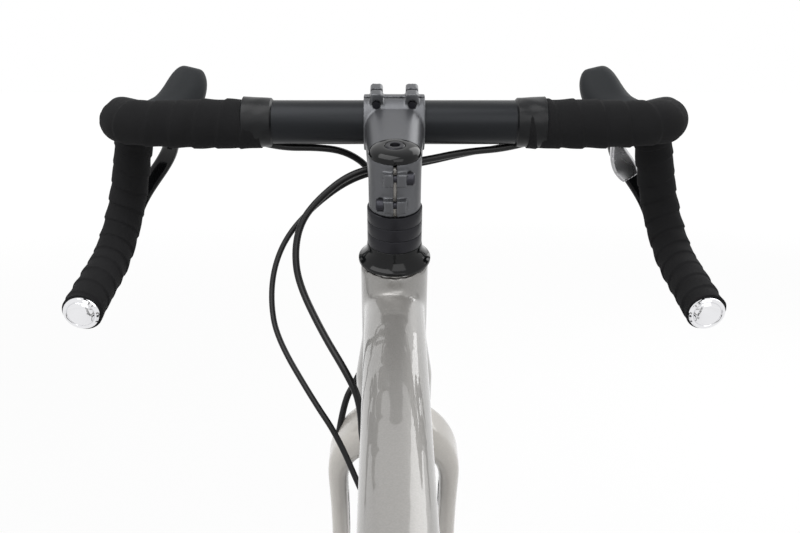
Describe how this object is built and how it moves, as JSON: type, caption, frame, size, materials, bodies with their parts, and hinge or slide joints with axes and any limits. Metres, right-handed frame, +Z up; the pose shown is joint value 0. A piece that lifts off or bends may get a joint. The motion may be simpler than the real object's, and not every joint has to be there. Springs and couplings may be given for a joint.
{
  "type": "gravel bike",
  "caption": "Gravel bicycle with flared drop handlebar, threadless stem, steering fork, spoked wheels on through axles, disc brakes and a single-ring chain drive with rear derailleur.",
  "frame": {"origin": "on the ground, midway between the wheel axles, in the middle plane", "axes": "+X forward, +Y to the rider's left, +Z up; the chain drive is on the -Y side"},
  "size_m": [1.732, 0.5034, 0.959],
  "materials": {
    "frame_paint": "clear-coated warm silver grey",
    "fork_paint": "clear-coated pale beige grey",
    "black_alloy": "satin black anodised",
    "grey_alloy": "satin dark grey anodised",
    "silver_alloy": "bare silver",
    "steel": "brushed steel",
    "dark_steel": "blackened steel",
    "chrome": "polished",
    "gloss_black": "gloss black",
    "black_plastic": "matt black",
    "tape": "matt cushioned wrap",
    "band": "satin black adhesive band",
    "hood_rubber": "matt charcoal rubber",
    "tyre_rubber": "matt black rubber",
    "hose": "satin black hose",
    "saddle_cover": "matt black cover"
  },
  "bodies": {
    "frame": {"main_frame": "frame_paint", "rear_stays": "frame_paint", "headset_bearings": "steel", "bottom_bracket_cups": "black_alloy", "seatpost_collar": "black_alloy", "rear_thru_axle": "black_alloy", "rear_brake_caliper": "black_alloy", "rear_derailleur": "black_alloy", "control_cables": "hose", "chain": "steel"},
    "seat": {"seatpost": "black_alloy", "saddle_clamp": "black_alloy", "saddle_rails": "steel", "saddle_shell": "black_plastic", "saddle_pad": "saddle_cover"},
    "steering": {"fork": "fork_paint", "headset_cover": "gloss_black", "headset_spacers": "grey_alloy", "stem": "grey_alloy", "stem_faceplate": "grey_alloy", "stem_bolts": "dark_steel", "top_cap": "gloss_black", "top_cap_bolt": "grey_alloy", "handlebar": "black_alloy", "bar_tape_left": "tape", "bar_tape_right": "tape", "finishing_bands": "band", "bar_end_plugs": "chrome", "lever_hood_left": "hood_rubber", "lever_hood_right": "hood_rubber", "lever_pivot_pins": "steel", "front_brake_hose": "hose", "front_thru_axle": "black_alloy", "front_brake_caliper": "black_alloy"},
    "left_lever": {"brake_lever_left": "black_alloy"},
    "right_lever": {"brake_lever_right": "black_alloy"},
    "paddle": {"shift_paddle": "silver_alloy"},
    "front_left_pad": {"front_pad_left": "dark_steel"},
    "front_right_pad": {"front_pad_right": "dark_steel"},
    "rear_left_pad": {"rear_pad_left": "dark_steel"},
    "rear_right_pad": {"rear_pad_right": "dark_steel"},
    "front_wheel": {"front_tyre": "tyre_rubber", "front_rim": "black_alloy", "front_spokes": "dark_steel", "front_hub": "black_alloy", "front_rotor": "steel"},
    "rear_wheel": {"rear_tyre": "tyre_rubber", "rear_rim": "black_alloy", "rear_spokes": "dark_steel", "rear_hub": "black_alloy", "rear_rotor": "steel"},
    "freewheel": {"cassette": "steel"},
    "crank": {"crankset": "black_alloy", "chainring": "dark_steel"},
    "left_pedal": {"pedal_left": "black_alloy"},
    "right_pedal": {"pedal_right": "black_alloy"},
    "link": {"derailleur_linkage": "black_alloy"},
    "cage": {"derailleur_cage": "black_alloy"},
    "upper_jockey": {"upper_jockey_wheel": "black_plastic"},
    "lower_jockey": {"lower_jockey_wheel": "black_plastic"}
  },
  "joints": [
    {"name": "steering", "type": "hinge", "parent": "frame", "child": "steering", "pos_m": [0.34231, 0, 0.70955], "axis": [-0.3173, 0, 0.9483], "range_deg": [-60, 60], "deforming": ["control_cables"]},
    {"name": "front_wheel_spin", "type": "hinge", "parent": "steering", "child": "front_wheel", "pos_m": [0.515, 0, 0.351], "axis": [0, 1, 0], "continuous": true},
    {"name": "rear_wheel_spin", "type": "hinge", "parent": "frame", "child": "rear_wheel", "pos_m": [-0.515, 0, 0.351], "axis": [0, 1, 0], "continuous": true},
    {"name": "crank_spin", "type": "hinge", "parent": "frame", "child": "crank", "pos_m": [-0.09107, 0, 0.279], "axis": [0, 1, 0], "continuous": true, "deforming": ["chain"]},
    {"name": "cassette_spin", "type": "hinge", "parent": "frame", "child": "freewheel", "pos_m": [-0.515, 0, 0.351], "axis": [0, 1, 0], "continuous": true},
    {"name": "left_pedal_spin", "type": "hinge", "parent": "crank", "child": "left_pedal", "pos_m": [-0.26107, 0.124, 0.279], "axis": [0, 1, 0], "continuous": true},
    {"name": "right_pedal_spin", "type": "hinge", "parent": "crank", "child": "right_pedal", "pos_m": [0.07893, -0.124, 0.279], "axis": [0, 1, 0], "continuous": true},
    {"name": "derailleur_shift", "type": "slide", "parent": "frame", "child": "link", "axis": [0, 1, 0], "range_m": [-0.0195, 0.0195]},
    {"name": "cage_swing", "type": "hinge", "parent": "link", "child": "cage", "pos_m": [-0.509, -0.0455, 0.235], "axis": [0, 1, 0], "range_deg": [-25, 25], "stiffness_Nm_per_rad": 0.5},
    {"name": "upper_jockey_spin", "type": "hinge", "parent": "cage", "child": "upper_jockey", "pos_m": [-0.509, -0.0455, 0.235], "axis": [0, 1, 0], "continuous": true},
    {"name": "lower_jockey_spin", "type": "hinge", "parent": "cage", "child": "lower_jockey", "pos_m": [-0.47419, -0.0455, 0.15201], "axis": [0, 1, 0], "continuous": true},
    {"name": "left_brake_lever", "type": "hinge", "parent": "steering", "child": "left_lever", "pos_m": [0.46283, 0.191, 0.91086], "axis": [0, 1, 0], "range_deg": [0, 20], "stiffness_Nm_per_rad": 0.6},
    {"name": "right_brake_lever", "type": "hinge", "parent": "steering", "child": "right_lever", "pos_m": [0.46283, -0.191, 0.91086], "axis": [0, 1, 0], "range_deg": [0, 20], "stiffness_Nm_per_rad": 0.6},
    {"name": "shift_paddle_swing", "type": "hinge", "parent": "right_lever", "child": "paddle", "pos_m": [0.46283, -0.191, 0.90136], "axis": [1, 0, 0], "range_deg": [0, 12], "stiffness_Nm_per_rad": 0.2},
    {"name": "front_left_pad_slide", "type": "slide", "parent": "steering", "child": "front_left_pad", "axis": [0, -1, 0], "range_m": [0, 0.00035]},
    {"name": "front_right_pad_slide", "type": "slide", "parent": "steering", "child": "front_right_pad", "axis": [0, 1, 0], "range_m": [0, 0.00035]},
    {"name": "rear_left_pad_slide", "type": "slide", "parent": "frame", "child": "rear_left_pad", "axis": [0, -1, 0], "range_m": [0, 0.00035]},
    {"name": "rear_right_pad_slide", "type": "slide", "parent": "frame", "child": "rear_right_pad", "axis": [0, 1, 0], "range_m": [0, 0.00035]},
    {"name": "seatpost_slide", "type": "slide", "parent": "frame", "child": "seat", "axis": [-0.2924, 0, 0.9563], "range_m": [-0.02, 0.1]}
  ],
  "couplings": [
    {"joint": "cassette_spin", "follows": "crank_spin", "ratio": 1.9048},
    {"joint": "upper_jockey_spin", "follows": "crank_spin", "ratio": -3.3333},
    {"joint": "lower_jockey_spin", "follows": "crank_spin", "ratio": 3.3333},
    {"joint": "front_left_pad_slide", "follows": "left_brake_lever", "m_per_rad": 0.0010027},
    {"joint": "front_right_pad_slide", "follows": "left_brake_lever", "m_per_rad": 0.0010027},
    {"joint": "rear_left_pad_slide", "follows": "right_brake_lever", "m_per_rad": 0.0010027},
    {"joint": "rear_right_pad_slide", "follows": "right_brake_lever", "m_per_rad": 0.0010027}
  ]
}
